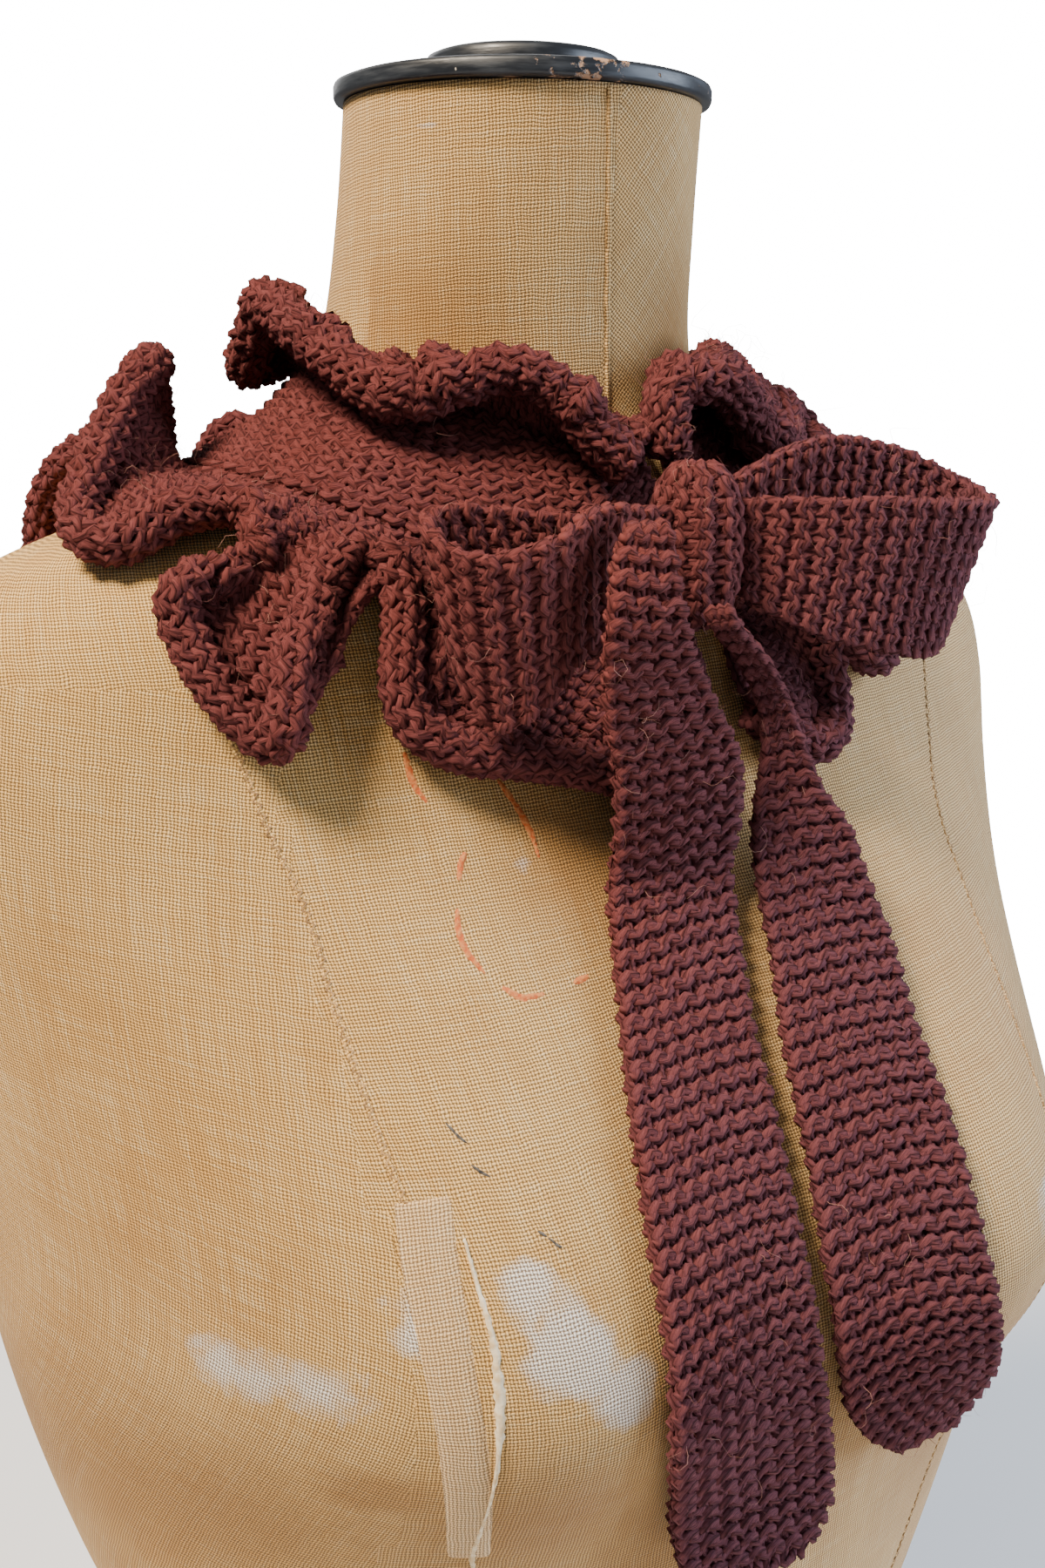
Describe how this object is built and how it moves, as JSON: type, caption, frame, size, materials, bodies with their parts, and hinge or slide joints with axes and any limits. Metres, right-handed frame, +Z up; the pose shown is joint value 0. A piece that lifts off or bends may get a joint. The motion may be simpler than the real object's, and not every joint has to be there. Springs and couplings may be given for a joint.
{
  "type": "knitted ruff collar on a dress form",
  "caption": "Hand-knitted wool ruff collar, two ruffles on a neck band, tied in a bow with long ties, on a linen-covered limbless dress form.",
  "frame": {"origin": "middle of the neck's root, brought straight down to the dress form's flat underside", "axes": "+Z up along the neck, -Y towards the front of the form, +X towards the form's own left"},
  "size_m": [0.4114, 0.3266, 0.7273],
  "materials": {
    "wool": "hand-knitted plied wool",
    "linen": "aged unbleached linen",
    "paint": "worn black paint over wood"
  },
  "bodies": {
    "root": {"form_body": "linen", "neck_cap": "paint", "cap_boss": "paint", "neck_band": "wool", "upper_ruffle": "wool", "lower_ruffle": "wool", "bow_loop_left": "wool", "bow_loop_right": "wool", "bow_knot": "wool", "tie_left": "wool", "tie_right": "wool"}
  },
  "joints": []
}
